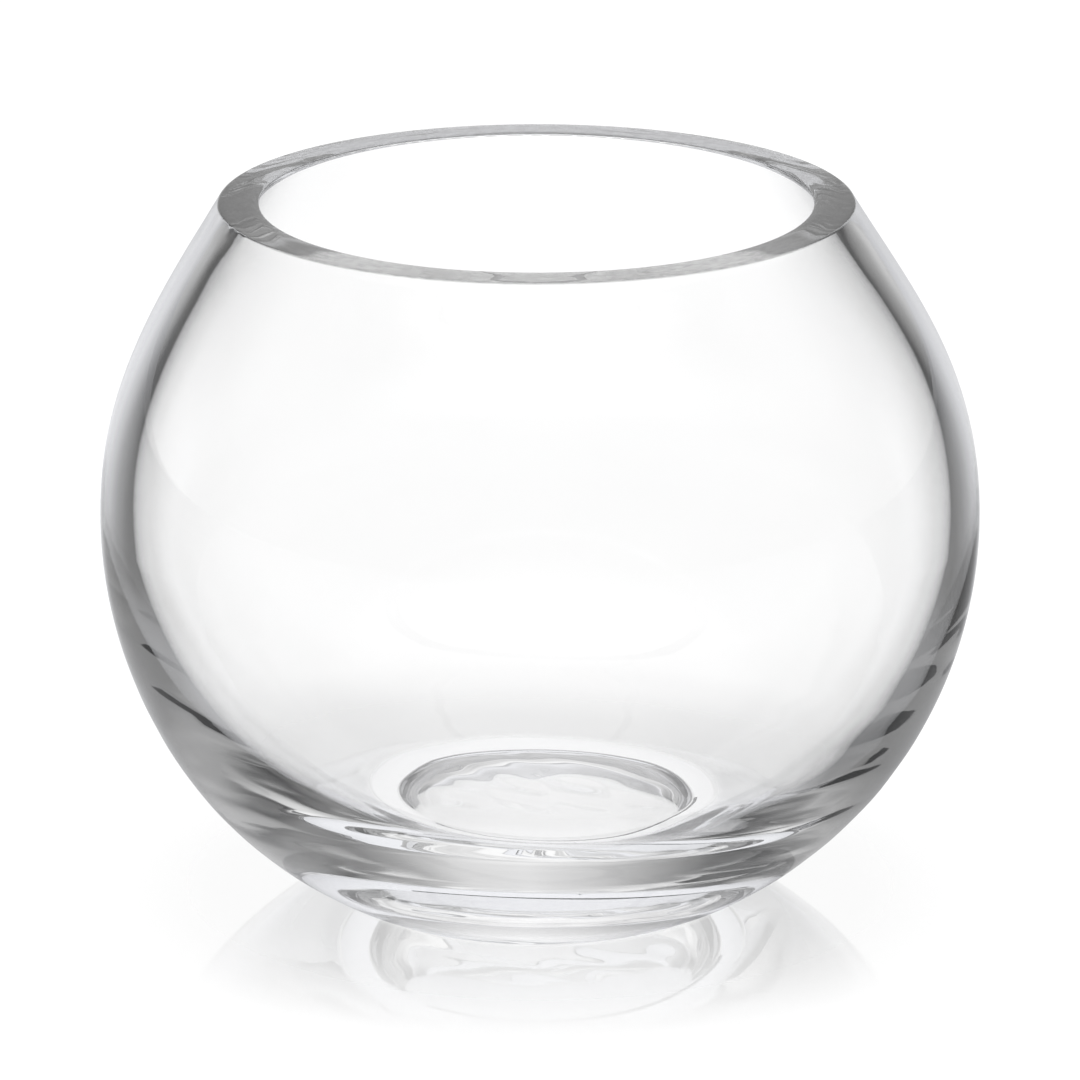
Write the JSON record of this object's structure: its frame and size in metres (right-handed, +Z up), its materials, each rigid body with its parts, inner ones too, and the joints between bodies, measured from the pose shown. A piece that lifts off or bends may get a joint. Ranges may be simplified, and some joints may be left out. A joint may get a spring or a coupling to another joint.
{
  "type": "rose bowl vase",
  "caption": "Round clear glass bowl vase with a wide flat-cut mouth, thick base and small recessed foot, for short-stemmed or floating flowers.",
  "frame": {"origin": "middle of the foot, at table level", "axes": "+Z up along the bowl's axis, from the foot to the mouth; X and Y are free, because the bowl is round"},
  "size_m": [0.115, 0.115, 0.0928],
  "materials": {
    "clear_glass": "polished clear colourless glass, ground flat on the rim"
  },
  "bodies": {
    "root": {"glass_bowl": "clear_glass"}
  },
  "joints": []
}
